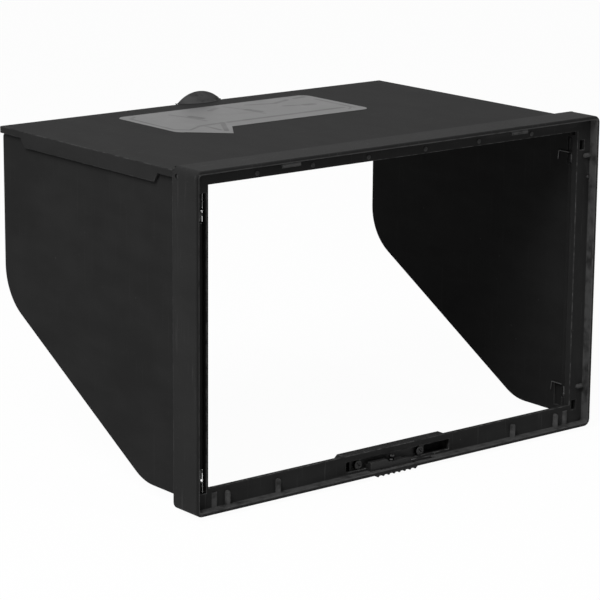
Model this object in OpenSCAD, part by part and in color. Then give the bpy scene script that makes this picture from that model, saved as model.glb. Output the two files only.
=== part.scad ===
// Folding sun hood for a field monitor: a clip-on frame, a hinged top and two sprung side panels.
// The seat for the monitor faces -Y, the hood opens towards +Y and Z is up, all in millimetres.
// The origin is the middle of the seat's upper strip. Heights are counted from the frame's foot.

/* [Frame] */
// Outer width of the frame, along X
frame_w = 230; // [226:1:236]
// Outer height of the frame, along Z
frame_h = 147; // [145:1:150]
// Depth of the frame from the rim to its back edge, along Y
frame_d = 16.4; // [16:0.1:18]
// Thickness of the frame's four walls
wall = 1.8; // [1.6:0.1:2]
// Outer radius of the four long corners
corner_r = 3.3; // [3:0.1:3.6]
// Depth of the pocket that takes the edge of the monitor
seat_depth = 4.4; // [4:0.1:5]
// Thickness of the flange that the monitor rests against
flange_t = 1.8; // [1.6:0.1:1.8]
// Half width of the viewing opening
open_x = 105.4; // [104:0.1:105.6]
// Height of the lower edge of the viewing opening
open_low = 10.4; // [10.2:0.1:11]
// Height of the upper edge of the viewing opening
open_high = 140; // [139.6:0.1:140.2]

/* [Panels] */
// Distance from the rim to the far edge of the panels
hood_reach = 151.4; // [150:0.1:152]
// Thickness of the side panels
side_t = 1.9; // [1.8:0.1:1.9]
// Distance of the side panels' outer faces from the middle
side_x = 110.4; // [110.2:0.1:110.4]
// Height of the side panels' upper edge
side_high = 141.2; // [141:0.1:141.2]
// Height of the side panels' lower edge
side_low = 4.3; // [4.2:0.1:4.5]
// Radius of the two soft corners of a side panel
side_corner_r = 25; // [22:1:25]
// Half width of the top panel
top_x = 112; // [111.9:0.1:112.2]
// Height of the top panel's upper surface
top_high = 144.6; // [144.4:0.1:144.7]
// Thickness of the top panel's plate
top_t = 1.7; // [1.5:0.1:1.7]
// Half width of the thumb tab at the top panel's far edge
tab_half = 13; // [12:0.1:15]
// Rise of the thumb tab above the top panel
tab_rise = 5.2; // [5:0.1:6.5]

/* [Hinges] */
// Distance of the side hinge axes from the middle
side_axis_x = 107.7; // [107.6:0.05:107.8]
// Distance of the left hinge axis behind the seat face
left_axis_y = 3.4; // [3.3:0.05:3.4]
// Distance of the right hinge axis behind the seat face
right_axis_y = 5.7; // [5.6:0.05:5.7]
// Radius of the side hinge pins
side_pin_r = 0.5; // [0.45:0.01:0.5]
// Distance of the top hinge axis behind the seat face
top_axis_y = 9.05; // [9:0.05:9.1]
// Height of the top hinge axis
top_axis_z = 143.07; // [143:0.01:143.1]
// Radius of the top hinge pins
top_pin_r = 1.1; // [1:0.01:1.1]
// Radial clearance of every running fit
fit_gap = 0.05; // [0.03:0.01:0.08]

/* [Springs] */
// Radius of the spring wire
wire_r = 0.25; // [0.22:0.01:0.26]
// Mean radius of a torsion spring's coil
coil_r = 0.95; // [0.9:0.01:1]
// Rise of the torsion springs' coil in one turn
coil_pitch = 0.525; // [0.52:0.005:0.53]
// Number of turns of a torsion spring
coil_turns = 8; // [6:1:8]
// Number of turns of the latch's return spring
return_turns = 14; // [10:1:14]

/* [Latch] */
// Half length of the slot in the lower flange
slot_half = 30.1; // [29:0.1:31]
// Height of the slot's lower edge
slot_low = 2.9; // [2.8:0.1:3]
// Height of the slot's upper edge
slot_high = 7.5; // [7.4:0.1:7.6]
// Left end of the slider bar
bar_left = -26.5; // [-27:0.1:-26]
// Right end of the slider bar
bar_right = 16.8; // [16:0.1:17]
// Left end of the thumb grip
grip_left = -14.7; // [-15:0.1:-14]
// Right end of the thumb grip
grip_right = 9.3; // [9:0.1:10]
// Distance between two ribs of the thumb grip
rib_pitch = 3.1; // [2.8:0.1:3.4]
// Sideways travel of the latch
latch_travel = 12; // [10:0.5:12]

/* [Hidden] */
$fn = 48;
// Height of the row origin above the frame's foot
seat_z = (open_high + frame_h - wall) / 2;
in_x = frame_w / 2 - wall;
in_high = frame_h - wall;
back_y = frame_d - seat_depth;
far_y = hood_reach - seat_depth;
edge_gap = 1.8;
eps = 0.1;
shade = [0.09, 0.09, 0.095];
steel = [0.7, 0.7, 0.72];

// Hinge groups, as heights above the frame's foot
ear_low = [7.8, 12.8];
ear_high = [130.6, 136.2];
knuckle_low = [side_low, 7.3];
knuckle_high = [136.6, 140.8];
pin_low = [4.6, 18.6];
pin_high = [124, 140.5];
coil_low = 14;
coil_high = 124.6;
notch_low = [7.7, 17.7];
notch_high = [123.4, 136.4];
barrel = [18.8, 123.8];
barrel_r = 1.45;
collar = [129.5, 130.4];
skirt_back = 3.4;
skirt = [7.5, 138];
lug_end = 109;
ridge_y = -3.6;
ear_r = 1.3;
arm_reach = 8.9;
tip_drop = 3.9;
leg_reach = 2.6;

// Slope of the side panels' lower edge and the point where it meets the straight far edge
diagonal_slope = 0.585;
diagonal_z = 66.9;

screw_x = [-22.8, 13.1];
latch_pin_x = -5.2;
latch_mid_z = 5;
tongue_y = [-2.4, -0.2];
tongue_x = [-18, 9];
tongue_low = 2;
track_depth = 0.4;
neck_x = [-11.5, 6.5];

// Brings heights above the foot to heights above the row origin
module lift() {
    translate([0, 0, -seat_z]) children();
}

module both_sides() {
    children();
    mirror([1, 0, 0]) children();
}

// A box given by its limits along the three axes
module box(x, y, z) {
    translate([x[0], y[0], z[0]]) cube([x[1] - x[0], y[1] - y[0], z[1] - z[0]]);
}

// A flat outline in Y and Z, made thick along X from x
module slab_x(x, thickness) {
    translate([x, 0, 0]) rotate([90, 0, 90]) linear_extrude(thickness) children();
}

// Cross-section of the frame's wall: outwards along X, towards the rim along Y
module wall_section() {
    rim_r = 0.6;
    intersection() {
        translate([corner_r - wall, -back_y]) square([wall, frame_d]);
        union() {
            translate([0, -back_y]) square([corner_r, frame_d - rim_r]);
            square([corner_r - rim_r, seat_depth]);
            translate([corner_r - rim_r, seat_depth - rim_r]) circle(rim_r);
        }
    }
}

module wall_ring() {
    cx = frame_w / 2 - corner_r;
    cz = frame_h / 2 - corner_r;
    translate([0, 0, frame_h / 2]) {
        for (turn = [0, 180]) rotate([0, turn, 0]) {
            translate([cx, 0, 0]) rotate([180, 0, 0])
                linear_extrude(2 * cz, center = true) wall_section();
            translate([0, 0, cz]) rotate([0, -90, 0]) rotate([180, 0, 0])
                linear_extrude(2 * cx, center = true) wall_section();
            translate([cx, 0, cz]) rotate([90, 0, 0]) rotate_extrude(angle = 90) wall_section();
            translate([cx, 0, -cz]) rotate([0, 90, 0]) rotate([90, 0, 0])
                rotate_extrude(angle = 90) wall_section();
        }
    }
}

// Long relief in the left strip, two windows in the right strip, the latch's slot and the tongue's track
module flange_cuts() {
    box([-111, -106.6], [-1, flange_t + 1], [8.5, 136.8]);
    for (z = [[7.8, 12.4], [131.2, 135.6]]) box([106.9, 109.8], [-1, flange_t + 1], z);
    box([-slot_half, slot_half], [-1, flange_t + 1], [slot_low, slot_high]);
    box([tongue_x[0] - 0.6, tongue_x[1] + latch_travel + 0.6], [-1, track_depth], [wall, slot_low + eps]);
}

module flange() {
    lap = 0.3;
    both_sides() box([open_x, open_x + 0.68], [flange_t - eps, skirt_back], skirt);
    difference() {
        box([-in_x - lap, in_x + lap], [0, flange_t], [wall - lap, in_high + lap]);
        box([-open_x, open_x], [-1, flange_t + 1], [open_low, open_high]);
        flange_cuts();
    }
}

// A rod with one round end, along Z
module round_rod(r, length) {
    cylinder(r = r, h = length - r);
    translate([0, 0, length - r]) sphere(r);
}

// Moulded pips, lugs, posts and snap ridges that the monitor's edge seats on
module seat_details() {
    lug_r = 1.05;
    post_r = 1.1;
    for (x = [-80.4, -50.6, -19.9, 12.5, 44, 76])
        translate([x, -0.4, 142]) rotate([-90, 0, 0]) cylinder(r = 1.1, h = 0.8);
    both_sides() {
        for (z = [18.8, 128.4]) {
            translate([in_x + eps, -0.5, z]) rotate([0, -90, 0]) round_rod(lug_r, in_x + eps - lug_end);
            box([lug_end + lug_r, in_x + eps], [-0.5, 0.1], [z - lug_r, z + lug_r]);
            translate([lug_end + lug_r, -0.5, z]) rotate([-90, 0, 0]) cylinder(r = lug_r, h = 0.6);
        }
        translate([112.4, 0, 118.3]) sphere(0.8);
        translate([102.5, 1, wall - eps]) cylinder(r = 1.9, h = 6.6);
        for (x = [68.7, 95.9]) {
            translate([x, -1, wall - eps]) round_rod(post_r, 6.3);
            box([x - post_r, x + post_r], [-1, 0.1], [wall - eps, 6.9]);
            translate([x, -1, 6.9]) rotate([-90, 0, 0]) cylinder(r = post_r, h = 1.1);
        }
        translate([65.1, ridge_y, 144.1]) rotate([0, 90, 0]) cylinder(r = 0.75, h = 9.6, center = true);
        box([60.3, 69.9], [ridge_y - 0.6, ridge_y + 0.6], [144.1, in_high + eps]);
    }
}

// Ears that carry the side hinge pins, standing off the side wall
module hinge_ear(axis_y, z) {
    translate([side_axis_x, axis_y, z[0]]) cylinder(r = ear_r, h = z[1] - z[0]);
    box([side_axis_x, in_x + eps], [axis_y - ear_r, axis_y + ear_r], z);
}

module hinge_ears(axis_y) {
    for (z = [ear_low, ear_high]) hinge_ear(axis_y, z);
}

module frame() {
    window_y = [tongue_y[0] - 0.1, -0.1];
    color(shade) lift() difference() {
        union() {
            wall_ring();
            flange();
            seat_details();
            hinge_ears(right_axis_y);
            mirror([1, 0, 0]) hinge_ears(left_axis_y);
        }
        translate([side_axis_x, right_axis_y, 0]) cylinder(r = side_pin_r, h = frame_h - wall);
        translate([-side_axis_x, left_axis_y, 0]) cylinder(r = side_pin_r, h = frame_h - wall);
        translate([0, top_axis_y, top_axis_z]) rotate([0, 90, 0])
            cylinder(r = top_pin_r + fit_gap, h = frame_w + 2, center = true);
        box([neck_x[0] - 0.5, neck_x[1] + latch_travel + 0.5], window_y, [-1, wall + 1]);
    }
}

module side_hinge_pins() {
    color(steel) lift()
        for (side = [[side_axis_x, right_axis_y], [-side_axis_x, left_axis_y]])
            for (z = [pin_low, pin_high])
                translate([side[0], side[1], z[0]]) cylinder(r = side_pin_r, h = z[1] - z[0]);
}

// Outline of a side panel in Y and Z, from its near edge to the far edge
module side_outline(near_y) {
    meet_y = far_y - (diagonal_z - side_low) / diagonal_slope;
    lean = atan(diagonal_slope);
    far_run = side_corner_r * tan((90 - lean) / 2);
    low_run = side_corner_r * tan(lean / 2);
    step = [cos(lean), sin(lean)];
    top_r = 1.5;
    polygon([[near_y, side_low], [meet_y - low_run, side_low],
             [meet_y, side_low] + low_run * step, [far_y, diagonal_z] - far_run * step,
             [far_y, diagonal_z + far_run], [far_y, side_high - top_r],
             [far_y - top_r, side_high], [near_y, side_high]]);
    translate([meet_y - low_run, side_low + side_corner_r]) circle(side_corner_r, $fn = 96);
    translate([far_y - side_corner_r, diagonal_z + far_run]) circle(side_corner_r, $fn = 96);
    translate([far_y - top_r, side_high - top_r]) circle(top_r);
}

// A rounded length of the panel's near edge, round the hinge axis
module knuckle(axis_y, z, r = ear_r) {
    translate([side_axis_x, axis_y, z[0]]) cylinder(r = r, h = z[1] - z[0]);
    box([side_axis_x + 0.25, side_x], [axis_y, axis_y + edge_gap + 0.4], z);
}

// The right panel, whose hinge axis lies axis_y behind the seat
module side_panel(axis_y) {
    near_y = axis_y + edge_gap;
    inner_x = side_x - side_t;
    recess_x = [inner_x - 1, side_x - 0.6];
    difference() {
        union() {
            difference() {
                slab_x(inner_x, side_t) side_outline(near_y);
                box(recess_x, [near_y - 1, near_y + 5.6], notch_low);
                box(recess_x, [near_y - 1, near_y + 1.9], notch_high);
            }
            for (z = [knuckle_low, collar, knuckle_high]) knuckle(axis_y, z);
        }
        translate([side_axis_x, axis_y, 0]) cylinder(r = side_pin_r + fit_gap, h = frame_h);
    }
    knuckle(axis_y, barrel, barrel_r);
}

module right_panel() {
    color(shade) lift() side_panel(right_axis_y);
}

module left_panel() {
    color(shade) lift() mirror([1, 0, 0]) side_panel(left_axis_y);
}

// Sections of a wire: ring i of a route, six corners round its point
function unit(v) = v / norm(v);
function heading(path, i) = unit(path[min(i + 1, len(path) - 1)] - path[max(i - 1, 0)]);
function ring(path, i, up, r) =
    let (t = heading(path, i), side = unit(cross(t, up)), rise = cross(side, t))
    [for (k = [0:5]) path[i] + r * (cos(60 * k) * side + sin(60 * k) * rise)];

// An unbroken six-sided tube along a route
module wire(path, up) {
    last = len(path) - 1;
    corners = [for (i = [0:last]) each ring(path, i, up, wire_r)];
    sides = [for (i = [0:last - 1]) for (k = [0:5]) let (a = 6 * i + k, b = 6 * i + (k + 1) % 6)
             each [[a, b, b + 6], [a, b + 6, a + 6]]];
    caps = [for (k = [1:4]) each [[0, k + 1, k], [6 * last, 6 * last + k, 6 * last + k + 1]]];
    polyhedron(points = corners, faces = concat(sides, caps));
}

// Points of a coil round the Z axis, eight to a turn, that starts and ends on +X
function coil(turns, r, pitch) =
    [for (i = [0:8 * turns]) [r * cos(45 * i), r * sin(45 * i), pitch * i / 8]];

// Least clear distance of a route to itself, measured on its points half a turn or more apart
function self_gap(path) =
    min([for (i = [0:len(path) - 5]) for (j = [i + 5:len(path) - 1])
         norm(path[j] - path[i])]) - 2 * wire_r;

// Torsion spring of the right side: leg to the flange, coil, arm along the panel, bent tip
arm_x = side_x - side_t - wire_r - 0.05 - side_axis_x;
coil_top = coil_turns * coil_pitch;
torsion_path = concat(
    [for (s = [1, 0.6, 0.3]) [coil_r, -leg_reach * s, -0.3 * s]],
    coil(coil_turns, coil_r, coil_pitch),
    [[coil_r - 0.1, 0.6, coil_top + 0.1], [arm_x, 1.3, coil_top + 0.15],
     [arm_x, arm_reach - 0.3, coil_top + 0.15], [arm_x, arm_reach, coil_top],
     [arm_x, arm_reach + 0.15, coil_top - 0.3], [arm_x, arm_reach + 0.5, coil_top - tip_drop]]);
return_left = -17.2;
return_right = 13.6;
return_path = coil(return_turns, coil_r, (return_right - return_left) / return_turns);
echo("least gap of a torsion spring to itself", self_gap(torsion_path));
echo("least gap of the return spring to itself", self_gap(return_path));

module torsion_spring(axis_y, z) {
    translate([side_axis_x, axis_y, z]) wire(torsion_path, [0, 0, 1]);
}

module right_upper_spring() {
    color(steel) lift() torsion_spring(right_axis_y, coil_high);
}

module right_lower_spring() {
    color(steel) lift() torsion_spring(right_axis_y, coil_low);
}

module left_upper_spring() {
    color(steel) lift() mirror([1, 0, 0]) torsion_spring(left_axis_y, coil_high);
}

module left_lower_spring() {
    color(steel) lift() mirror([1, 0, 0]) torsion_spring(left_axis_y, coil_low);
}

// Lip that holds a side panel from springing further out
module top_lip() {
    band_low = side_high + 0.3;
    lip_x = side_x + 0.3;
    slab_x(lip_x, top_x - lip_x)
        polygon([[26.3, band_low + eps], [29.2, 137.4], [127.1, 137.4], [130.4, band_low + eps]]);
    box([109.2, top_x], [top_axis_y, far_y], [band_low, top_high]);
}

// A disc that widens in a shallow curve over its depth
module widening_disc(disc_r, widening, depth) {
    span = cos(20) - cos(70);
    curve = [for (a = [70:-10:20]) [disc_r - widening * (cos(20) - cos(a)) / span,
                                    depth * (sin(70) - sin(a)) / span]];
    rotate_extrude($fn = 96) polygon(concat([[0, 0]], curve, [[0, depth]]));
}

// Half-round shell that rises from the plate and leans back over its far edge
module thumb_tab() {
    depth = 6.5;
    skin = 1.4;
    back = far_y + 0.9;
    outer_r = (pow(tab_half, 2) + pow(tab_rise, 2)) / (2 * tab_rise);
    intersection() {
        translate([0, back - depth, top_high + tab_rise - outer_r]) rotate([-90, 0, 0]) difference() {
            widening_disc(outer_r, tab_rise + 0.2, depth);
            translate([0, 0, skin]) widening_disc(outer_r - skin + 0.4, tab_rise + 0.2, depth);
        }
        box([-tab_half, tab_half], [back - depth - 1, back + 1], [top_high - eps, top_high + 20]);
    }
}

module top_panel() {
    root_y = top_axis_y - 1.55;
    color(shade) lift() difference() {
        union() {
            box([-top_x, top_x], [top_axis_y, far_y], [top_high - top_t, top_high]);
            box([-top_x, top_x], [root_y, top_axis_y + 1.6], [side_high + 0.3, top_high]);
            both_sides() top_lip();
            thumb_tab();
        }
        both_sides() translate([top_x - 9, top_axis_y, top_axis_z]) rotate([0, 90, 0])
            cylinder(r = top_pin_r, h = 10);
    }
}

module top_hinge_pins() {
    color(steel) lift() both_sides() translate([top_x - 9, top_axis_y, top_axis_z]) rotate([0, 90, 0])
        cylinder(r = top_pin_r, h = frame_w / 2 - 0.5 - top_x + 9);
}

// Sticker with a pointer towards the frame
module top_label() {
    x = [-58.6, 52.5];
    y = [83.2, 133.2];
    r = 5;
    color([0.3, 0.3, 0.31]) lift() translate([0, 0, top_high]) linear_extrude(0.15) {
        translate([x[0] + r, y[0]]) square([x[1] - x[0] - 2 * r, y[1] - y[0]]);
        translate([x[0], y[0] + r]) square([x[1] - x[0], y[1] - y[0] - 2 * r]);
        for (cx = [x[0] + r, x[1] - r]) for (cy = [y[0] + r, y[1] - r]) translate([cx, cy]) circle(r);
        polygon([[-56.2, y[0] + 1.4], [-39.6, 68.9], [-28.7, y[0] + 1]]);
    }
}

// Cover over the slider, behind the lower flange
module latch_housing() {
    foot = 32.5;
    crown = 29.6;
    high = 9.7;
    skin = 1;
    back = 7.2;
    color(shade) lift() {
        difference() {
            translate([0, back, 0]) rotate([90, 0, 0]) linear_extrude(back - flange_t)
                polygon([[-foot, wall], [foot, wall], [foot, 7], [crown, high], [-crown, high], [-foot, 7]]);
            box([-30.7, 30.7], [flange_t - 1, back - skin], [wall - 1, high - skin]);
        }
        translate([return_left - 1.4, 3.7, latch_mid_z]) rotate([-90, 0, 0])
            cylinder(r = 0.8, h = back - skin - 3.7 + eps);
    }
}

// Return spring in the channel at the back of the slider bar
module latch_return_spring() {
    color(steel) lift() translate([return_left, 4.6, latch_mid_z]) rotate([0, 90, 0])
        wire(return_path, [0, 0, 1]);
}

module latch_slider() {
    color(shade) lift() difference() {
        box([bar_left, bar_right], [flange_t + 0.2, 5.9], [2.6, 7.4]);
        box([bar_left - 1, return_right + 0.3], [3.2, 7], [latch_mid_z - 1.4, latch_mid_z + 1.4]);
        for (x = screw_x) translate([x, flange_t, latch_mid_z]) rotate([-90, 0, 0])
            cylinder(r = 1, h = 1.2);
    }
}

module latch_screws() {
    head_r = 2.1;
    head_front = 0.4;
    seat = flange_t + 0.2;
    color(steel) lift() for (x = screw_x) translate([x, 0, latch_mid_z]) difference() {
        union() {
            translate([0, head_front, 0]) rotate([-90, 0, 0]) cylinder(r = head_r, h = seat - head_front);
            translate([0, seat - eps, 0]) rotate([-90, 0, 0]) cylinder(r = 1, h = 1);
        }
        for (turn = [45, 135]) rotate([0, turn, 0]) box([-1.3, 1.3], [0, head_front + 0.7], [-0.3, 0.3]);
    }
}

// Tongue that grips the monitor's lower edge, with its neck through the slot
module latch_tongue() {
    color(shade) lift() difference() {
        union() {
            translate([0, tongue_y[1], 0]) rotate([90, 0, 0]) linear_extrude(tongue_y[1] - tongue_y[0])
                polygon([[tongue_x[0], tongue_low], [tongue_x[1], tongue_low], [tongue_x[1], 3.4],
                         [2, 4.4], [-7.6, 4.4], [-8.6, 5.8], [tongue_x[0], 5.8]]);
            box([tongue_x[0], 2], [tongue_y[1] - eps, flange_t + 0.2], [3.1, 4.4]);
        }
        translate([latch_pin_x, -1.3, 3.2]) cylinder(r = 0.8, h = 3);
        translate([5.2, tongue_y[0], 3]) rotate([0, 90, 0]) cylinder(r = 0.3, h = 2.8);
    }
}

module latch_pin() {
    color(steel) lift() translate([latch_pin_x, -1.3, 0]) {
        translate([0, 0, 3.2]) cylinder(r = 0.8, h = 3.3);
        translate([0, 0, 6.3]) cylinder(r = 1.3, h = 1);
    }
}

// Open ring under the pin's head
module pin_clip() {
    color(steel) lift() translate([latch_pin_x, -1.3, 4.9]) linear_extrude(0.6) difference() {
        circle(1.7);
        circle(0.82);
        translate([-0.6, -3]) square([1.2, 3]);
    }
}

module detent_wire() {
    color(steel) lift() translate([5.25, tongue_y[0], 3]) rotate([0, 90, 0])
        cylinder(r = 0.29, h = 2.7);
}

// Ribbed grip under the frame, with its neck up through the wall
module thumb_grip() {
    base_low = -1.1;
    rib_r = 0.75;
    rib_count = floor((grip_right - grip_left - 2 * rib_r) / rib_pitch);
    first = (grip_left + grip_right - rib_count * rib_pitch) / 2;
    color(shade) lift() {
        box([grip_left, grip_right], [-2.4, 7.6], [base_low, -0.15]);
        for (i = [0:rib_count]) translate([first + i * rib_pitch, -2.4, base_low + 0.2])
            rotate([-90, 0, 0]) cylinder(r = rib_r, h = 10);
        box(neck_x, [tongue_y[0], -0.4], [-0.3, tongue_low]);
    }
}

frame();
side_hinge_pins();
latch_housing();
latch_return_spring();
top_panel();
top_hinge_pins();
top_label();
left_panel();
left_upper_spring();
left_lower_spring();
right_panel();
right_upper_spring();
right_lower_spring();
latch_slider();
latch_tongue();
thumb_grip();
latch_screws();
latch_pin();
pin_clip();
detent_wire();
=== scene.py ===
"""Looks of a folding clip-on sun hood: its mouldings, wound springs, small hardware, sticker and studio."""

import logging
import math
from collections.abc import Iterable
from dataclasses import dataclass, field
from enum import Enum

import bmesh
import bpy
from mathutils import Matrix, Vector


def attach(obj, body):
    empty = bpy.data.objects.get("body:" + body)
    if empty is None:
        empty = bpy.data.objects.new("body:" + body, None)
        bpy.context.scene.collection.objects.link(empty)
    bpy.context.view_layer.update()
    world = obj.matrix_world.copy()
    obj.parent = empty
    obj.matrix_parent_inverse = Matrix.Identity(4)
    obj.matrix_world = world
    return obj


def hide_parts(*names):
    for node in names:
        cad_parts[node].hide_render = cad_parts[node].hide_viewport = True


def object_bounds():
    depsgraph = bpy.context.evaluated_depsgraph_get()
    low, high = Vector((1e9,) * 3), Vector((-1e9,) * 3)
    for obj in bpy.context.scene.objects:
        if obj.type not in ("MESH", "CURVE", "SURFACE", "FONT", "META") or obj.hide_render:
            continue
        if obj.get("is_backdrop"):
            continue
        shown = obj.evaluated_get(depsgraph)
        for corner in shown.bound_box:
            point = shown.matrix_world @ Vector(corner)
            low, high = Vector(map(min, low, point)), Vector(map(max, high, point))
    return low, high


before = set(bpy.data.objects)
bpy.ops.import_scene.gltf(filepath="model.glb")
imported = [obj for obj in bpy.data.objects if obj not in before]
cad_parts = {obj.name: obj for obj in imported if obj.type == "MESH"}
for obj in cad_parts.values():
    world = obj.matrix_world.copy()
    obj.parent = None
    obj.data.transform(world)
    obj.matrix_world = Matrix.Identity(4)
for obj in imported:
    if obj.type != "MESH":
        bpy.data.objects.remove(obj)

LOG = logging.getLogger("sun_hood")
MM = 0.001

# Height of the row origin above the frame's foot, in millimetres
SEAT_HEIGHT = 142.6

# A bound that lies outside the hood, in millimetres
FAR = 1000.0

Numbers = tuple[float, ...]


def place(x: float, y: float, height: float) -> Vector:
    """A point in metres from millimetres and a height above the frame's foot."""
    return Vector((x, y, height - SEAT_HEIGHT)) * MM


class Sock:
    """A shader socket that takes part in Python arithmetic."""

    def __init__(self, tree: "ShaderTree", socket: bpy.types.NodeSocket) -> None:
        """Wraps an output socket of a tree."""
        self.tree = tree
        self.socket = socket

    def math(self, operation: str, *others: "Sock | float") -> "Sock":
        """One Math node on this value.

        Args:
            operation: Blender's name of the operation.
            others: the other operands, in order.

        Returns:
            The node's value.
        """
        sockets = dict(enumerate((self, *others)))
        return self.tree.out("ShaderNodeMath", {"operation": operation}, sockets)

    def _reflected(self, operation: str, other: float) -> "Sock":
        """A Math node with a number first and this value second."""
        return self.tree.out("ShaderNodeMath", {"operation": operation}, {0: other, 1: self})

    def __add__(self, other: "Sock | float") -> "Sock":
        """Sum."""
        return self.math("ADD", other)

    def __radd__(self, other: float) -> "Sock":
        """Sum with the number first."""
        return self._reflected("ADD", other)

    def __sub__(self, other: "Sock | float") -> "Sock":
        """Difference."""
        return self.math("SUBTRACT", other)

    def __rsub__(self, other: float) -> "Sock":
        """Difference with the number first."""
        return self._reflected("SUBTRACT", other)

    def __mul__(self, other: "Sock | float") -> "Sock":
        """Product."""
        return self.math("MULTIPLY", other)

    def __rmul__(self, other: float) -> "Sock":
        """Product with the number first."""
        return self._reflected("MULTIPLY", other)

    def between(self, low: float, high: float) -> "Sock":
        """A smooth step: 0 at low and before, 1 at high and past it."""
        settings = {"interpolation_type": "SMOOTHSTEP"}
        sockets = {"Value": self, "From Min": low, "From Max": high}
        return self.tree.out("ShaderNodeMapRange", settings, sockets)


class ShaderTree:
    """Nodes of one material or world, built from Python expressions."""

    def __init__(self, tree: bpy.types.NodeTree) -> None:
        """Starts from an empty tree."""
        self.tree = tree
        tree.nodes.clear()

    def node(self, kind: str, settings: dict | None = None, sockets: dict | None = None) -> bpy.types.Node:
        """Adds a node.

        Args:
            kind: Blender's name of the node's type.
            settings: properties that are set before the sockets.
            sockets: values or links of the inputs, by name or place.

        Returns:
            The node.
        """
        made = self.tree.nodes.new(kind)
        for key, value in (settings or {}).items():
            setattr(made, key, value)
        for key, value in (sockets or {}).items():
            if isinstance(value, Sock):
                self.tree.links.new(value.socket, made.inputs[key])
            else:
                made.inputs[key].default_value = value
        return made

    def out(
        self,
        kind: str,
        settings: dict | None = None,
        sockets: dict | None = None,
        output: str | int = 0,
    ) -> Sock:
        """Adds a node and wraps one of its outputs."""
        return Sock(self, self.node(kind, settings, sockets).outputs[output])

    def place(self) -> Sock:
        """The piece's own coordinates, in metres."""
        return self.out("ShaderNodeTexCoord", output="Object")

    def axes(self) -> tuple[Sock, Sock, Sock]:
        """The three coordinates of a point of the piece, in millimetres."""
        parts = self.node("ShaderNodeSeparateXYZ", sockets={0: self.place()})
        x, y, z = (Sock(self, parts.outputs[i]) * (1 / MM) for i in range(3))
        return x, y, z

    def noise(self, grain_mm: float, detail: float = 2.0, stretch: Numbers = (1, 1, 1)) -> Sock:
        """Noise on the piece's own coordinates.

        Args:
            grain_mm: size of the pattern's grains in millimetres.
            detail: number of finer layers.
            stretch: how many times finer the pattern is along each axis.

        Returns:
            The noise, from 0 to 1, with its mean near 0.5.
        """
        mapping = {"Vector": self.place(), "Scale": stretch}
        scaled = self.out("ShaderNodeMapping", {"vector_type": "POINT"}, mapping)
        pattern = {"Vector": scaled, "Scale": 1 / (grain_mm * MM), "Detail": detail, "Roughness": 0.55}
        return self.out("ShaderNodeTexNoise", sockets=pattern)

    def cells(self, grain_mm: float, output: str) -> Sock:
        """Voronoi cells on the piece's own coordinates."""
        sockets = {"Vector": self.place(), "Scale": 1 / (grain_mm * MM)}
        return self.out("ShaderNodeTexVoronoi", sockets=sockets, output=output)

    def tone(self, factor: Sock, low: Numbers, high: Numbers | Sock) -> Sock:
        """A colour between two others."""
        sockets = {0: factor, 6: low, 7: high}
        return self.out("ShaderNodeMix", {"data_type": "RGBA", "clamp_factor": True}, sockets, output=2)

    def relief(self, height: Sock, depth_mm: float, under: Sock | None = None) -> Sock:
        """A bump of a real depth.

        Args:
            height: the relief, from 0 to 1.
            depth_mm: the height that 1 stands for, in millimetres.
            under: the normal of a coarser relief.

        Returns:
            The normal.
        """
        sockets: dict = {"Height": height, "Distance": depth_mm * MM, "Strength": 1.0}
        if under is not None:
            sockets["Normal"] = under
        return self.out("ShaderNodeBump", sockets=sockets)

    def surface(self, **values: "Sock | float | Numbers") -> None:
        """Ends a material in one Principled shader, whose sockets are named with underscores."""
        sockets = {key.replace("_", " "): value for key, value in values.items()}
        shader = self.out("ShaderNodeBsdfPrincipled", sockets=sockets)
        self.node("ShaderNodeOutputMaterial", sockets={"Surface": shader})


def grey(value: float) -> Numbers:
    """An opaque neutral colour."""
    return (value, value, value, 1.0)


def new_material(name: str) -> tuple[bpy.types.Material, ShaderTree]:
    """A material with nodes, and its empty tree."""
    material = bpy.data.materials.new(name)
    material.use_nodes = True
    return material, ShaderTree(material.node_tree)


class Grain(Enum):
    """Textures of the mould's surface: grain size and depth in millimetres."""

    SPARK = (0.32, 0.010)
    SATIN = (0.18, 0.004)
    SLIDING = (0.5, 0.003)


@dataclass(frozen=True)
class Zone:
    """A box of the hood, in millimetres and heights above the foot.

    Attributes:
        low: its least x, y and height.
        high: its greatest x, y and height.
        soft: width of its faded edge in a material.
    """

    low: Numbers
    high: Numbers
    soft: float = 0.25

    def share(self, tree: ShaderTree) -> Sock:
        """A mask that is 1 inside the box and 0 outside it."""
        x, y, z = tree.axes()
        masks = [
            axis.between(low - self.soft, low) * (1.0 - axis.between(high, high + self.soft))
            for axis, low, high in zip((x, y, z + SEAT_HEIGHT), self.low, self.high)
        ]
        return masks[0] * masks[1] * masks[2]

    def holds(self, point: Vector) -> bool:
        """Whether a point lies in the box, with x counted outwards from the middle."""
        spot = (abs(point.x), point.y, point.z)
        return all(low < value < high for low, value, high in zip(self.low, spot, self.high))


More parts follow.
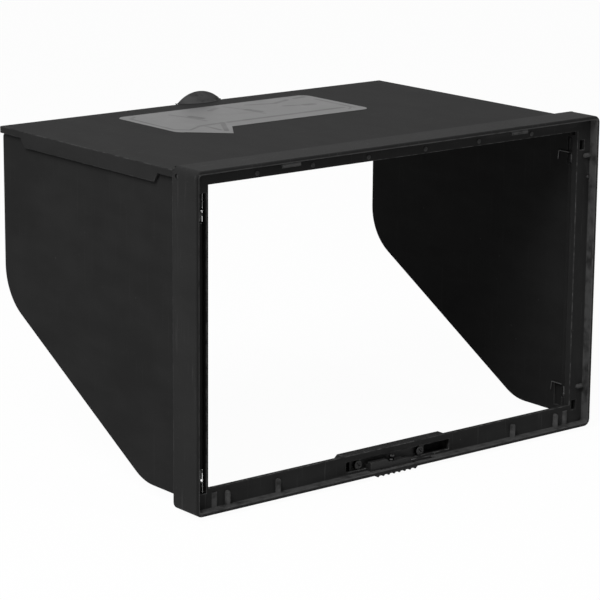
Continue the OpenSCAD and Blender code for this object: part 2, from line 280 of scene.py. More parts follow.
@dataclass(frozen=True)
class MouldedPlastic:
    """Black injection-moulded plastic with a grained surface, and broken edges painted lighter for wear and
    as a painted highlight.

    Attributes:
        slot: the record's material slot.
        shade: the plastic's own reflectance.
        roughness: mean roughness.
        grain: texture of the mould.
        sheen_level: specular level.
        edge_wear_and_highlight: how much lighter the broken edges are painted, for wear and as a painted
            highlight.
        dust: share of the small light specks.
        streaks: strength of the upright handling streaks.
        wear_and_highlight_lift: how much lighter the zone is painted, for wear and as a painted highlight.
        zone: the box whose colour is painted lighter.
        cloud_mm: size of the broad light and dark areas, in millimetres.
        flow_mm: size of the melt's flow marks.
        scuff_mm: width of the scuffs.
        streak_mm: width of the streaks.
        speck_mm: distance between the specks.
    """

    slot: str
    shade: float
    roughness: float
    grain: Grain
    sheen_level: float = 0.35
    edge_wear_and_highlight: float = 0.03
    dust: float = 0.35
    streaks: float = 0.12
    wear_and_highlight_lift: float = 0.0
    zone: Zone | None = None
    cloud_mm: float = 38.0
    flow_mm: float = 9.0
    scuff_mm: float = 2.2
    streak_mm: float = 1.3
    speck_mm: float = 7.5

    def build(self) -> bpy.types.Material:
        """Makes the material."""
        material, tree = new_material(self.slot.replace("_", " "))
        grain_mm, depth_mm = self.grain.value
        fine = tree.noise(grain_mm, 3.0)
        pits = tree.cells(grain_mm * 2.2, "Distance")
        cloud = tree.noise(self.cloud_mm, 3.0)
        flow = tree.noise(self.flow_mm, 2.0, (1.0, 0.35, 1.0))
        scuff = tree.noise(self.scuff_mm, 4.0, (0.12, 1.0, 2.6)).between(0.66, 0.72)
        streak = tree.noise(self.streak_mm, 3.0, (1.0, 1.0, 0.035)).between(0.6, 0.74)
        edge = tree.out("ShaderNodeAttribute", {"attribute_name": "edge"}, output="Fac")
        # Broken edges are painted lighter: partly edge wear, partly a painted highlight along the edges.
        edge_wear_and_highlight_mask = edge * tree.noise(3.5, 3.0).between(0.35, 0.7)
        speck = (1.0 - tree.cells(self.speck_mm, "Distance").between(0.012, 0.035)) * self.dust
        body = tree.tone(
            (cloud * 0.6 + flow * 0.4).between(0.3, 0.7), grey(self.shade * 0.86), grey(self.shade * 1.14)
        )
        wear_and_highlight_colour = tree.tone(edge_wear_and_highlight_mask * 0.75, body, grey(self.shade + self.edge_wear_and_highlight)) if self.edge_wear_and_highlight else body
        # Inside the zone the colour is painted lighter: wear together with a painted highlight on the
        # frame, and a painted highlight on the tab.
        if self.zone:
            wear_and_highlight_mask = self.zone.share(tree) * tree.noise(5.0, 3.0).between(0.2, 0.6)
            wear_and_highlight_colour = tree.tone(wear_and_highlight_mask * 0.8, wear_and_highlight_colour, grey(self.shade + self.wear_and_highlight_lift))
        marks = (scuff * 0.22 + streak * self.streaks).math("MINIMUM", 1.0)
        scuffed = tree.tone(marks, wear_and_highlight_colour, grey(self.shade + 0.03))
        colour = tree.tone(speck, scuffed, grey(0.22))
        roughness = self.roughness + (cloud - 0.5) * 0.12 + (fine - 0.5) * 0.1 - edge_wear_and_highlight_mask * 0.14 - scuff * 0.05
        sag = tree.relief(tree.noise(24.0, 1.0), 0.05)
        normal = tree.relief(fine * 0.7 + pits * 0.3, depth_mm, sag)
        tree.surface(
            Base_Color=colour,
            Roughness=roughness,
            Normal=normal,
            Specular_IOR_Level=self.sheen_level,
        )
        return material


@dataclass(frozen=True)
class BareMetal:
    """Drawn or turned steel.

    Attributes:
        slot: the record's material slot.
        shade: reflectance.
        roughness: mean roughness.
        draw_mm: width of the drawing lines in millimetres.
        stretch: how many times finer the lines are along each axis.
        stain_mm: size of the stains.
    """

    slot: str
    shade: float
    roughness: float
    draw_mm: float
    stretch: Numbers
    stain_mm: float = 1.6

    def build(self) -> bpy.types.Material:
        """Makes the material."""
        material, tree = new_material(self.slot.replace("_", " "))
        lines = tree.noise(self.draw_mm, 2.0, self.stretch)
        stain = tree.noise(self.stain_mm, 3.0)
        colour = tree.tone(stain.between(0.35, 0.75), grey(self.shade), grey(self.shade * 0.72))
        roughness = self.roughness + (lines - 0.5) * 0.18 + (stain - 0.5) * 0.12
        tree.surface(
            Base_Color=colour,
            Roughness=roughness,
            Normal=tree.relief(lines, 0.004),
            Metallic=1.0,
        )
        return material


@dataclass(frozen=True)
class Stroke:
    """One printed line of the sticker, in millimetres.

    Attributes:
        start: one end.
        end: the other end.
        width: its width.
        ink: how dark it is, from 0 to 1.
    """

    start: Numbers
    end: Numbers
    width: float = 1.1
    ink: float = 0.8

    def mask(self, x: Sock, y: Sock) -> Sock:
        """The stroke's ink at a point of the film."""
        run_x, run_y = self.end[0] - self.start[0], self.end[1] - self.start[1]
        length = math.hypot(run_x, run_y)
        ahead_x, ahead_y = run_x / length, run_y / length
        from_x, from_y = x - self.start[0], y - self.start[1]
        along = from_x * ahead_x + from_y * ahead_y
        past = along - along.math("MAXIMUM", 0.0).math("MINIMUM", length)
        across = from_x * ahead_y - from_y * ahead_x
        distance = (past * past + across * across).math("SQRT")
        return (1.0 - distance.between(self.width * 0.65, self.width * 1.05)) * self.ink


@dataclass(frozen=True)
class StickerFilm:
    """Grey film with a border line, a pointer and plain folding marks.

    Attributes:
        slot: the record's material slot.
        strokes: the printed lines.
        shades: the film's darkest and lightest reflectance.
    """

    slot: str
    strokes: tuple[Stroke, ...]
    shades: Numbers = (0.062, 0.088)

    def build(self) -> bpy.types.Material:
        """Makes the material."""
        material, tree = new_material(self.slot.replace("_", " "))
        x, y, _ = tree.axes()
        ink = self.strokes[0].mask(x, y)
        for stroke in self.strokes[1:]:
            ink = ink.math("MAXIMUM", stroke.mask(x, y))
        cloud = tree.noise(9.0, 4.0)
        smudge = tree.noise(11.0, 3.0, (0.6, 1.6, 1.0)).between(0.52, 0.75) * y.between(98.0, 106.0)
        film = tree.tone(cloud.between(0.3, 0.7), grey(self.shades[0]), grey(self.shades[1]))
        dulled = tree.tone(smudge * 0.35, film, grey(self.shades[0] * 0.6))
        colour = tree.tone((ink * 1.6).math("MINIMUM", 1.0), dulled, grey(0.012))
        tree.surface(
            Base_Color=colour,
            Roughness=0.42 + (cloud - 0.5) * 0.2,
            Normal=tree.relief(tree.noise(1.2, 2.0), 0.004),
            Specular_IOR_Level=0.3,
        )
        return material


# The sticker's printed lines
BORDER = (
    Stroke((-24.0, 93.0), (43.6, 93.4), 1.5, 0.9),
    Stroke((43.6, 88.6), (47.6, 92.0), 0.7, 0.5),
    Stroke((48.0, 90.0), (48.6, 120.0), 0.8, 0.6),
    Stroke((-55.6, 92.0), (-54.8, 126.0), 0.9, 0.7),
    Stroke((-55.6, 92.0), (-50.4, 86.6), 0.9, 0.7),
    Stroke((-54.8, 126.0), (-50.6, 129.4), 1.1, 0.5),
)
POINTER = (
    Stroke((-40.8, 92.2), (-27.3, 93.2), 1.5, 0.85),
    Stroke((-27.3, 93.2), (-38.3, 75.7), 1.3, 0.85),
    Stroke((-38.8, 90.6), (-39.3, 78.6), 1.0, 0.7),
    Stroke((-50.4, 86.6), (-40.8, 92.2), 0.9, 0.6),
)
FOLDING_MARKS = (
    Stroke((-34.1, 124.4), (-31.4, 113.9), 1.0, 0.4),
    Stroke((-31.4, 113.9), (-30.1, 101.7), 1.0, 0.4),
    Stroke((-28.9, 114.7), (-27.9, 108.6), 2.2, 0.8),
    Stroke((-0.3, 128.3), (2.7, 116.8), 1.0, 0.4),
    Stroke((2.7, 116.8), (3.9, 102.0), 1.0, 0.4),
    Stroke((3.6, 114.8), (5.3, 107.4), 2.2, 0.85),
    Stroke((-12.0, 123.0), (-5.0, 127.0), 1.6, 0.45),
    Stroke((11.4, 125.6), (24.6, 121.2), 1.5, 0.6),
    Stroke((24.6, 121.2), (35.7, 125.8), 1.5, 0.6),
    Stroke((42.0, 127.3), (47.7, 128.0), 1.6, 0.6),
    Stroke((34.0, 109.6), (38.5, 109.1), 2.2, 0.7),
    Stroke((24.0, 113.0), (34.0, 109.6), 1.3, 0.5),
)


# Boxes painted lighter: the frame's parts proud of the seat, for wear from the monitor and as a painted
# highlight, and the thumb tab, as a painted highlight
SEAT_WEAR_AND_HIGHLIGHT_ZONE = Zone((-113.6, -20.0, 1.4), (113.6, -0.35, 145.6))
TAB_HIGHLIGHT_ZONE = Zone((-16.0, 141.0, 145.0), (16.0, 160.0, 160.0))


class Finishes:
    """Every finish of the hood, built once."""

    def __init__(self) -> None:
        """Builds the materials."""
        plastics = (
            # The frame's broken edges and its parts proud of the seat are painted lighter, for wear and as
            # a painted highlight.
            MouldedPlastic(
                "frame_plastic",
                0.0165,
                0.74,
                Grain.SATIN,
                0.08,
                edge_wear_and_highlight=0.08,
                streaks=0.6,
                wear_and_highlight_lift=0.05,
                zone=SEAT_WEAR_AND_HIGHLIGHT_ZONE,
            ),
            # The thumb tab's box gets a painted highlight.
            MouldedPlastic("top_plastic", 0.0175, 0.80, Grain.SPARK, 0.06, wear_and_highlight_lift=0.05, zone=TAB_HIGHLIGHT_ZONE),
            MouldedPlastic("side_plastic", 0.017, 0.84, Grain.SPARK, 0.04),
            MouldedPlastic("latch_plastic", 0.015, 0.5, Grain.SLIDING, 0.2, edge_wear_and_highlight=0.04),
            MouldedPlastic("grip_plastic", 0.015, 0.55, Grain.SATIN, 0.15, edge_wear_and_highlight=0.03),
        )
        metals = (
            BareMetal("pin_steel", 0.05, 0.4, 0.12, (1, 1, 0.1)),
            BareMetal("screw_steel", 0.035, 0.3, 0.25, (1, 0.2, 1)),
            BareMetal("spring_steel", 0.09, 0.4, 0.10, (1, 1, 1)),
        )
        film = StickerFilm("label_film", BORDER + POINTER + FOLDING_MARKS)
        self.by_slot = {f.slot: f.build() for f in (*plastics, *metals, film)}

    def dress(self, piece: bpy.types.Object, slot: str) -> None:
        """Gives a piece one finish and names its slot."""
        piece.data.materials.clear()
        piece.data.materials.append(self.by_slot[slot])


def add_object(name: str, mesh: bpy.types.Mesh) -> bpy.types.Object:
    """Links a new object at the origin."""
    made = bpy.data.objects.new(name, mesh)
    bpy.context.scene.collection.objects.link(made)
    return made


def evaluated(piece: bpy.types.Object) -> bpy.types.Mesh:
    """The plain mesh of a piece with its modifiers applied."""
    graph = bpy.context.evaluated_depsgraph_get()
    return bpy.data.meshes.new_from_object(piece.evaluated_get(graph), depsgraph=graph)


@dataclass(frozen=True)
class EdgeBreak:
    """How a moulding's sharp edges are broken.

    Attributes:
        width: width of the break on large edges, in millimetres.
        fine: width near small features, in millimetres.
        segments: faces across the break.
        fine_zones: boxes round the small features.
        cuts: flat cuts that keep large faces simple, each an axis and a place in millimetres.
    """

    width: float
    fine: float = 0.1
    segments: int = 3
    fine_zones: tuple[Zone, ...] = ()
    cuts: tuple[tuple[int, float], ...] = ()

    def share(self, middle: Vector) -> float:
        """The share of the full width that an edge gets, by its middle."""
        fine = any(zone.holds(middle) for zone in self.fine_zones)
        return self.fine / self.width if fine else 1.0


@dataclass
class Moulding:
    """A CAD node's shape with broken edges, as a mould and a tumbled part leave them.

    Attributes:
        node: the CAD node.
        name: name of the new piece.
        edges: how its edges are broken.
        sharp: least angle of an edge that is broken.
        flat: greatest angle between faces that count as one.
        same_spot: greatest distance of points that count as one, in metres.
    """

    node: str
    name: str
    edges: EdgeBreak
    sharp: float = math.radians(28)
    flat: float = math.radians(0.4)
    same_spot: float = 1e-6

    def _merged_copy(self) -> bpy.types.Mesh:
        """The node's mesh with its doubles merged and its flat faces joined."""
        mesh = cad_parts[self.node].data.copy()
        mesh.name = self.name
        work = bmesh.new()
        work.from_mesh(mesh)
        bmesh.ops.remove_doubles(work, verts=work.verts, dist=self.same_spot)
        bmesh.ops.dissolve_limit(work, angle_limit=self.flat, verts=work.verts, edges=work.edges)
        for axis, value in self.edges.cuts:
            normal = Vector((0, 0, 0))
            normal[axis] = 1.0
            everything = [*work.verts, *work.edges, *work.faces]
            point = place(value, value, value)
            bmesh.ops.bisect_plane(work, geom=everything, dist=1e-7, plane_co=point, plane_no=normal)
        weight = work.edges.layers.float.new("bevel_weight_edge")
        for edge in work.edges:
            if edge.is_convex and edge.calc_face_angle(0) > self.sharp:
                middle = (edge.verts[0].co + edge.verts[1].co) / 2 / MM
                middle.z += SEAT_HEIGHT
                edge[weight] = self.edges.share(middle)
        work.to_mesh(mesh)
        work.free()
        # The second slot marks the broken edges until they have an attribute
        mesh.materials.clear()
        for _ in range(2):
            mesh.materials.append(None)
        return mesh

    def build(self) -> bpy.types.Object:
        """Makes the piece.

        Returns:
            The piece, with an attribute that marks its broken edges.
        """
        piece = add_object(self.name, self._merged_copy())
        bevel = piece.modifiers.new("break", "BEVEL")
        bevel.limit_method = "WEIGHT"
        bevel.width = self.edges.width * MM
        bevel.segments = self.edges.segments
        bevel.use_clamp_overlap = False
        bevel.material = 1
        bevel.miter_outer = "MITER_ARC"
        mesh = evaluated(piece)
        piece.modifiers.clear()
        mark = mesh.attributes.new("edge", "FLOAT", "FACE")
        mark.data.foreach_set("value", [float(face.material_index == 1) for face in mesh.polygons])
        for face in mesh.polygons:
            face.material_index = 0
            face.use_smooth = True
        piece.data = mesh
        weighted = piece.modifiers.new("flat faces stay flat", "WEIGHTED_NORMAL")
        weighted.weight = 50
        weighted.keep_sharp = False
        return piece


class NodeTreeKit:
    """A geometry tree with named inputs, built in Python."""

    def __init__(self, name: str) -> None:
        """Starts a tree with one geometry input and one geometry output."""
        self.tree = bpy.data.node_groups.new(name, "GeometryNodeTree")
        self.add_input("Geometry", "NodeSocketGeometry")
        self.tree.interface.new_socket("Geometry", in_out="OUTPUT", socket_type="NodeSocketGeometry")
        self.start = self.tree.nodes.new("NodeGroupInput")
        self.end = self.tree.nodes.new("NodeGroupOutput")

    def add_input(self, name: str, kind: str) -> None:
        """Adds a named input."""
        self.tree.interface.new_socket(name, in_out="INPUT", socket_type=kind)

    def node(self, kind: str, settings: dict | None = None, sockets: dict | None = None) -> bpy.types.Node:
        """Adds a node, whose sockets take values or other sockets."""
        made = self.tree.nodes.new(kind)
        for key, value in (settings or {}).items():
            setattr(made, key, value)
        for key, value in (sockets or {}).items():
            if isinstance(value, bpy.types.NodeSocket):
                self.tree.links.new(value, made.inputs[key])
            else:
                made.inputs[key].default_value = value
        return made

    def given(self, name: str) -> bpy.types.NodeSocket:
        """The socket of a named input."""
        return self.start.outputs[name]

    def finish(self, geometry: bpy.types.NodeSocket) -> bpy.types.NodeTree:
        """Ends the tree in Realize Instances and Set Material."""
        real = self.node("GeometryNodeRealizeInstances", sockets={0: geometry})
        dressed = self.node(
            "GeometryNodeSetMaterial", sockets={0: real.outputs[0], "Material": self.given("Finish")}
        )
        self.tree.links.new(dressed.outputs[0], self.end.inputs[0])
        return self.tree


def grown(name: str, base: bpy.types.Object, tree: bpy.types.NodeTree, values: dict) -> bpy.types.Object:
    """Runs a geometry tree on a base object and keeps the result as a plain mesh.

    Args:
        name: name of the piece.
        base: the object that the tree starts from, which is removed.
        tree: the geometry tree.
        values: values of the tree's named inputs.

    Returns:
        The piece.
    """
    modifier = base.modifiers.new("grow", "NODES")
    modifier.node_group = tree
    named = {item.name: item.identifier for item in tree.interface.items_tree if item.in_out == "INPUT"}
    for key, value in values.items():
        modifier[named[key]] = value
    mesh = evaluated(base)
    mesh.name = name
    bpy.data.objects.remove(base)
    return add_object(name, mesh)


def route(name: str, points: Iterable[Vector]) -> bpy.types.Object:
    """A curve through points."""
    curve = bpy.data.curves.new(name, "CURVE")
    curve.dimensions = "3D"
    spots = list(points)
    spline = curve.splines.new("POLY")
    spline.points.add(len(spots) - 1)
    for spot, target in zip(spots, spline.points):
        target.co = (*spot, 1.0)
    made = bpy.data.objects.new(name, curve)
    bpy.context.scene.collection.objects.link(made)
    return made


def wire_tree() -> bpy.types.NodeTree:
    """A tree that sweeps a round wire along a route."""
    kit = NodeTreeKit("wire along a route")
    kit.add_input("Radius", "NodeSocketFloat")
    kit.add_input("Sides", "NodeSocketInt")
    kit.add_input("Finish", "NodeSocketMaterial")
    section = kit.node(
        "GeometryNodeCurvePrimitiveCircle",
        {"mode": "RADIUS"},
        {"Resolution": kit.given("Sides"), "Radius": kit.given("Radius")},
    )
    swept = kit.node(
        "GeometryNodeCurveToMesh",
        sockets={"Curve": kit.given("Geometry"), "Profile Curve": section.outputs[0], "Fill Caps": True},
    )
    smooth = kit.node("GeometryNodeSetShadeSmooth", sockets={0: swept.outputs[0]})
    return kit.finish(smooth.outputs[0])


@dataclass
class Workshop:
    """What every sub-assembly needs: the finishes and the tree that sweeps a wire."""

    finishes: Finishes
    wire: bpy.types.NodeTree

    def keep(self, piece: bpy.types.Object, body: str, slot: str, *nodes: str) -> bpy.types.Object:
        """Dresses a finished piece, lets it ride on its body and stand for its CAD nodes."""
        self.finishes.dress(piece, slot)
        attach(piece, body)
        if nodes:
            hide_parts(*nodes)
        LOG.info("%s rides on %s, %d faces", piece.name, body, len(piece.data.polygons))
        return piece

    def moulding(self, node: str, name: str, body: str, slot: str, edges: EdgeBreak) -> bpy.types.Object:
        """Makes and keeps one moulding."""
        return self.keep(Moulding(node, name, edges).build(), body, slot, node)


@dataclass
class PocketFrame:
    """The frame that presses onto the monitor, with its hinge pins and the latch's cover."""

    shop: Workshop
    cuts_x: Numbers = (-100.0, -60.0, -20.0, 20.0, 60.0, 100.0)
    cut_heights: Numbers = (10.0, 40.0, 80.0, 120.0, 141.5)
    ears: Zone = Zone((105.0, 1.4, -FAR), (110.5, FAR, FAR))
    low_lugs: Zone = Zone((108.5, -1.8, 13.0), (FAR, 1.6, 24.0))
    high_lugs: Zone = Zone((108.5, -1.8, 112.0), (FAR, 1.6, 134.0))
    bores: Zone = Zone((111.4, 3.5, 140.0), (FAR, FAR, FAR))
    outer_posts: Zone = Zone((94.1, -FAR, -FAR), (97.7, 0.3, 9.0))
    inner_posts: Zone = Zone((66.9, -FAR, -FAR), (70.5, 0.3, 9.0))
    ridges: Zone = Zone((59.6, -FAR, 142.5), (70.6, -2.4, 145.1))

    def build(self) -> None:
        """Makes the frame body's pieces."""
        posts = (self.outer_posts, self.inner_posts)
        details = (self.ears, self.low_lugs, self.high_lugs, self.bores, *posts, self.ridges)
        cuts = tuple((0, x) for x in self.cuts_x) + tuple((2, height) for height in self.cut_heights)
        edges = EdgeBreak(0.3, fine=0.08, fine_zones=details, cuts=cuts)
        self.shop.moulding("frame", "pocket_frame", "frame_body", "frame_plastic", edges)
        self.shop.moulding("latch_housing", "slider_cover", "frame_body", "frame_plastic", EdgeBreak(0.3))
        pins = EdgeBreak(0.12, segments=2)
        self.shop.moulding("side_hinge_pins", "side_pins", "frame_body", "pin_steel", pins)


@dataclass
class TopPanel:
    """The top panel with its lips and thumb tab, its two pins and the sticker."""

    shop: Workshop
    bores: Zone = Zone((111.8, 7.25, -FAR), (FAR, 10.85, FAR))

    def build(self) -> None:
        """Makes the top body's pieces."""
        edges = EdgeBreak(0.35, fine_zones=(self.bores,))
        self.shop.moulding("top_panel", "top_moulding", "top", "top_plastic", edges)
        self.shop.moulding("top_hinge_pins", "top_pins", "top", "pin_steel", EdgeBreak(0.2, segments=2))
        self.shop.moulding("top_label", "sticker", "top", "label_film", EdgeBreak(0.05, segments=2))


class Side(Enum):
    """The two side panels: sign along X and depth of the hinge axis behind the seat, in millimetres."""

    LEFT = (-1, 3.4)
    RIGHT = (1, 5.7)


@dataclass
class TorsionSpring:
    """A wound spring with a short leg and an arm that ends in a bent tip. Sizes in millimetres."""

    coil_r: float = 0.95
    wire_r: float = 0.25
    pitch: float = 0.525
    turns: int = 8
    points_per_turn: int = 24
    sides: int = 10
    leg: float = 2.6
    arm_x: float = 0.5
    arm: float = 8.9
    tip: float = 3.9

    def points(self) -> list[Vector]:
        """The wire's route from the foot of the coil, for the right side."""
        top = self.turns * self.pitch
        leg = [(self.coil_r, -self.leg * s, -0.3 * s) for s in (1, 0.8, 0.6, 0.45, 0.3, 0.15)]
        count = self.turns * self.points_per_turn
        step = 2 * math.pi / self.points_per_turn
        coil = [
            (
                self.coil_r * math.cos(step * i),
                self.coil_r * math.sin(step * i),
                self.pitch * i / self.points_per_turn,
            )
            for i in range(count + 1)
        ]
        arm = [
            (self.coil_r - 0.04, 0.3, top + 0.05),
            (self.coil_r - 0.12, 0.6, top + 0.1),
            (self.arm_x + 0.1, 1.0, top + 0.14),
            (self.arm_x, 1.4, top + 0.15),
            (self.arm_x, self.arm - 0.35, top + 0.15),
            (self.arm_x, self.arm - 0.12, top + 0.1),
            (self.arm_x, self.arm + 0.03, top - 0.08),
            (self.arm_x, self.arm + 0.1, top - 0.35),
            (self.arm_x, self.arm + 0.5, top - self.tip),
        ]
        return [Vector(p) for p in leg + coil + arm]


@dataclass(frozen=True)
class SpringCradle:
    """Thin moulded rings at a torsion spring's ends and a half-round shell behind its coil.

    Attributes:
        rings: foot and top of each ring, in millimetres above the frame's foot.
        shell: foot and top of the shell.
        bore_r: radius of the rings' bore, round the pin.
        inner_r: the shell's inner radius.
        outer_r: radius of the rings and the shell.
        steps: faces round a whole ring.
    """

    rings: tuple[Numbers, ...]
    shell: Numbers
    bore_r: float = 0.6
    inner_r: float = 1.24
    outer_r: float = 1.45
    steps: int = 32

    def _band(
        self,
        work: bmesh.types.BMesh,
        axis: Numbers,
        inner: float,
        heights: Numbers,
        turns: float,
    ) -> None:
        """Adds a band round the hinge axis.

        Args:
            work: the mesh that it is added to.
            axis: x and y of the hinge axis.
            inner: its inner radius.
            heights: its foot and top.
            turns: 1 for a whole ring, 0.5 for the half behind the axis.
        """

        def section(i: int) -> list[bmesh.types.BMVert]:
            """The corners of the band's section at a step round the axis."""
            angle = 2 * math.pi * i / self.steps
            way_x, way_y = math.cos(angle), math.sin(angle)
            spots = [place(axis[0] + r * way_x, axis[1] + r * way_y, height) for r, height in corners]
            return [work.verts.new(spot) for spot in spots]

        foot, top = heights
        corners = ((inner, foot), (self.outer_r, foot), (self.outer_r, top), (inner, top))
        whole = turns == 1
        count = round(self.steps * turns) + (not whole)
        loops = [section(i) for i in range(count)]
        ahead = loops[1:] + loops[:1] if whole else loops[1:]
        for here, there in zip(loops, ahead):
            for k in range(4):
                work.faces.new((here[k], here[(k + 1) % 4], there[(k + 1) % 4], there[k]))
        if not whole:
            work.faces.new(loops[0])
            work.faces.new(loops[-1])

    def build(self, name: str, axis: Numbers) -> bpy.types.Object:
        """Makes the cradle round a hinge axis, given by its x and y."""
        work = bmesh.new()
        for heights in self.rings:
            self._band(work, axis, self.bore_r, heights, 1)
        self._band(work, axis, self.inner_r, self.shell, 0.5)
        bmesh.ops.recalc_face_normals(work, faces=work.faces)
        mesh = bpy.data.meshes.new(name)
        work.to_mesh(mesh)
        work.free()
        return add_object(name, mesh)


@dataclass(frozen=True)
class SpringSeat:
    """One torsion spring's place on a side panel.

    Attributes:
        name: which of the two springs it is.
        foot: height of the coil's foot above the frame's foot, in millimetres.
        cradle: the rings and the shell round its coil.
    """

    name: str
    foot: float
    cradle: SpringCradle


SPRING_SEATS = (
    SpringSeat("lower", 14.0, SpringCradle(((18.5, 18.78),), (14.1, 18.4))),
    SpringSeat("upper", 124.6, SpringCradle(((123.82, 124.3), (129.26, 129.48)), (124.3, 128.6))),
)


@dataclass
class SidePanel:
    """One side panel with its two torsion springs. Sizes in millimetres."""

    shop: Workshop
    side: Side
    axis_x: float = 107.7
    panel_inner_x: float = 108.5
    knuckle_reach: float = 2.0
    cuts_y: Numbers = (20.0, 45.0, 100.0)
    seats: tuple[SpringSeat, ...] = SPRING_SEATS
    spring: TorsionSpring = field(default_factory=TorsionSpring)

    def _spring(self, seat: SpringSeat) -> None:
        """Winds one torsion spring and sets it in its cradle."""
        sign, axis_y = self.side.value
        name = self.side.name.lower()
        self.spring.arm_x = self.panel_inner_x - self.spring.wire_r - 0.05 - self.axis_x
        turned = [
            place(sign * (self.axis_x + p.x), axis_y + p.y, seat.foot + p.z) for p in self.spring.points()
        ]
        steel = self.shop.finishes.by_slot["spring_steel"]
        piece = grown(
            f"{name}_{seat.name}_torsion_spring",
            route("wire route", turned),
            self.shop.wire,
            {"Radius": self.spring.wire_r * MM, "Sides": self.spring.sides, "Finish": steel},
        )
        self.shop.keep(piece, f"{name}_side", "spring_steel", f"{name}_{seat.name}_spring")
        cradle = seat.cradle.build(f"{name}_{seat.name}_spring_cradle", (sign * self.axis_x, axis_y))
        self.shop.keep(cradle, f"{name}_side", "side_plastic")

    def build(self) -> None:
        """Makes the panel and its springs."""
        name = self.side.name.lower()
        axis_y = self.side.value[1]
        low, high = (-FAR, axis_y - self.knuckle_reach, -FAR), (FAR, axis_y + self.knuckle_reach, FAR)
        cuts = tuple((1, y) for y in self.cuts_y)
        edges = EdgeBreak(0.35, fine_zones=(Zone(low, high),), cuts=cuts)
        self.shop.moulding(f"{name}_panel", f"{name}_side_moulding", f"{name}_side", "side_plastic", edges)
        for seat in self.seats:
            self._spring(seat)


@dataclass
class Latch:
    """The sliding latch under the opening, and its return spring."""

    shop: Workshop
    return_left: float = -17.2
    return_right: float = 13.6
    return_turns: int = 14
    return_y: float = 4.6
    return_height: float = 5.0
    coil_r: float = 0.95
    wire_r: float = 0.25
    wire_sides: int = 8
    points_per_turn: int = 20

    def _return_point(self, i: int) -> Vector:
        """A point of the return spring's wire."""
        share = i / (self.return_turns * self.points_per_turn)
        turn = 2 * math.pi * i / self.points_per_turn
        along = self.return_left + (self.return_right - self.return_left) * share
        across = self.return_y + self.coil_r * math.sin(turn)
        return place(along, across, self.return_height - self.coil_r * math.cos(turn))

    def _return_spring(self) -> None:
        """Winds the return spring along X."""
        count = self.return_turns * self.points_per_turn
        steel = self.shop.finishes.by_slot["spring_steel"]
        piece = grown(
            "return_spring",
            route("wire route", [self._return_point(i) for i in range(count + 1)]),
            self.shop.wire,
            {"Radius": self.wire_r * MM, "Sides": self.wire_sides, "Finish": steel},
        )
        self.shop.keep(piece, "frame_body", "spring_steel", "latch_return_spring")

    def build(self) -> None:
        """Makes the latch's pieces."""
        for node, name, slot, edges in (
            ("latch_slider", "slider_bar", "latch_plastic", EdgeBreak(0.2)),
            ("latch_tongue", "tongue", "latch_plastic", EdgeBreak(0.12)),
            ("thumb_grip", "ribbed_grip", "grip_plastic", EdgeBreak(0.12)),
            ("latch_screws", "cross_head_screws", "screw_steel", EdgeBreak(0.1)),
            ("latch_pin", "headed_pin", "pin_steel", EdgeBreak(0.2)),
            ("pin_clip", "open_ring", "spring_steel", EdgeBreak(0.08, segments=2)),
            ("detent_wire", "click_wire", "spring_steel", EdgeBreak(0.05, segments=2)),
        ):
            self.shop.moulding(node, name, "latch", slot, edges)
        self._return_spring()


@dataclass(frozen=True)
class Softbox:
    """One square lamp.

    Attributes:
        name: name of the lamp.
        spot: its place.
        aim: the point it faces.
        size: its side in metres.
        power: its power in watts.
    """

    name: str
    spot: Numbers
    aim: Numbers
    size: float
    power: float

    def build(self) -> None:
        """Hangs the lamp."""
        light = bpy.data.lights.new(self.name, "AREA")
        light.shape = "SQUARE"
        light.size = self.size
        light.energy = self.power
        lamp = bpy.data.objects.new(self.name, light)
        lamp.location = self.spot
        lamp.rotation_mode = "QUATERNION"
        lamp.rotation_quaternion = (Vector(self.aim) - Vector(self.spot)).to_track_quat("-Z", "Y")
        bpy.context.scene.collection.objects.link(lamp)


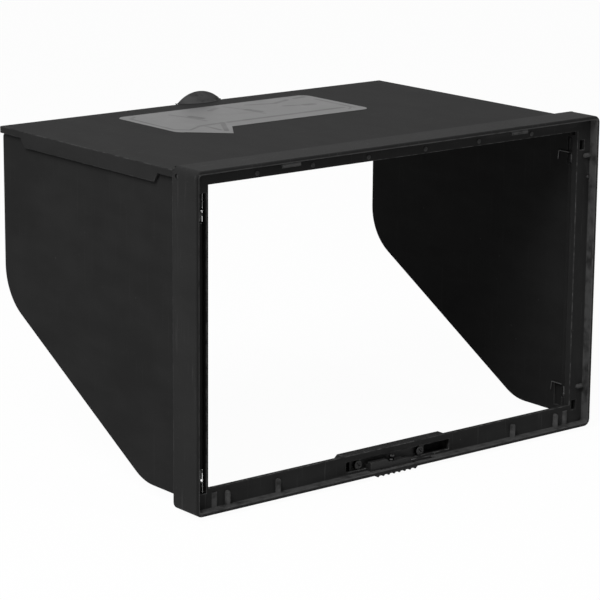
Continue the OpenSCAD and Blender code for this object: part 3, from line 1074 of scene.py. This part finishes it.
@dataclass
class Studio:
    """Pale floor, soft lamps, plain surroundings and the camera."""

    key: Softbox = Softbox("key above left", (-1.05, -0.27, 1.1), (0, 0.05, 0), 0.9, 26.0)
    fill: Softbox = Softbox("fill above right", (0.55, -1.0, 1.4), (0, 0, -0.07), 0.25, 5.0)
    sky: float = 0.1
    floor_shade: float = 0.86
    floor_glow: float = 0.97
    lens: float = 157.64
    shift: Numbers = (0.0773, -0.0215)
    stand: Numbers = (-0.7383, -0.8406, 0.2043)
    yaw: float = 0.6630
    pitch: float = 0.2330
    roll: float = 0.0040
    floor_reach: float = 6.0
    floor_drop: float = 0.0002

    def _seen_directly(self, tree: ShaderTree) -> Sock:
        """1 for rays that show a backdrop: from the camera, in gloss and through glass."""
        path = tree.node("ShaderNodeLightPath")
        kinds = ("Is Camera Ray", "Is Glossy Ray", "Is Transmission Ray")
        rays = [Sock(tree, path.outputs[kind]) for kind in kinds]
        return (rays[0] + rays[1] + rays[2]).math("MINIMUM", 1.0)

    def _world(self) -> None:
        """Plain light from all around, with white behind the object."""
        world = bpy.data.worlds.new("studio")
        world.use_nodes = True
        bpy.context.scene.world = world
        tree = ShaderTree(world.node_tree)
        strength = self._seen_directly(tree) * (1.0 - self.sky) + self.sky
        shader = tree.out("ShaderNodeBackground", sockets={"Color": (1, 1, 1, 1), "Strength": strength})
        tree.node("ShaderNodeOutputWorld", sockets={"Surface": shader})

    def _floor(self) -> None:
        """A wide pale floor just under the object."""
        low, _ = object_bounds()
        work = bmesh.new()
        bmesh.ops.create_grid(work, x_segments=1, y_segments=1, size=self.floor_reach)
        bmesh.ops.translate(work, verts=work.verts, vec=(0, 0, low.z - self.floor_drop))
        mesh = bpy.data.meshes.new("floor")
        work.to_mesh(mesh)
        work.free()
        floor = add_object("floor", mesh)
        material, tree = new_material("pale floor")
        seen = self._seen_directly(tree)
        matte = tree.out("ShaderNodeBsdfDiffuse", sockets={"Color": grey(self.floor_shade)})
        glow = tree.out("ShaderNodeEmission", sockets={"Color": (1, 1, 1, 1), "Strength": 1.0})
        mixed = tree.out("ShaderNodeMixShader", sockets={0: seen * self.floor_glow, 1: matte, 2: glow})
        tree.node("ShaderNodeOutputMaterial", sockets={"Surface": mixed})
        mesh.materials.append(material)
        floor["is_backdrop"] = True

    def _camera(self) -> None:
        """The camera at the photograph's viewing angle."""
        data = bpy.data.cameras.new("view")
        data.sensor_width = 36.0
        data.lens = self.lens
        data.shift_x, data.shift_y = self.shift
        data.clip_start, data.clip_end = 0.01, 50.0
        ahead = Vector(
            (
                math.sin(self.yaw) * math.cos(self.pitch),
                math.cos(self.yaw) * math.cos(self.pitch),
                -math.sin(self.pitch),
            )
        )
        right = Vector((math.cos(self.yaw), -math.sin(self.yaw), 0.0))
        up = right.cross(ahead)
        turned_right = math.cos(self.roll) * right + math.sin(self.roll) * up
        turned_up = -math.sin(self.roll) * right + math.cos(self.roll) * up
        camera = bpy.data.objects.new("camera", data)
        basis = Matrix((turned_right, turned_up, -ahead)).transposed()
        camera.matrix_world = Matrix.Translation(self.stand) @ basis.to_4x4()
        bpy.context.scene.collection.objects.link(camera)
        bpy.context.scene.camera = camera

    def build(self) -> None:
        """Sets the whole studio up."""
        self._camera()
        self._world()
        self._floor()
        self.key.build()
        self.fill.build()
        bpy.context.scene.view_settings.view_transform = "Standard"


def main() -> None:
    """Builds every sub-assembly in order, then the studio."""
    logging.basicConfig(level=logging.INFO, format="%(name)s: %(message)s")
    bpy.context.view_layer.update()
    shop = Workshop(Finishes(), wire_tree())
    for part in (
        PocketFrame(shop),
        TopPanel(shop),
        SidePanel(shop, Side.LEFT),
        SidePanel(shop, Side.RIGHT),
        Latch(shop),
    ):
        part.build()
        LOG.info("%s done", type(part).__name__)
    Studio().build()


if __name__ == "__main__":
    main()
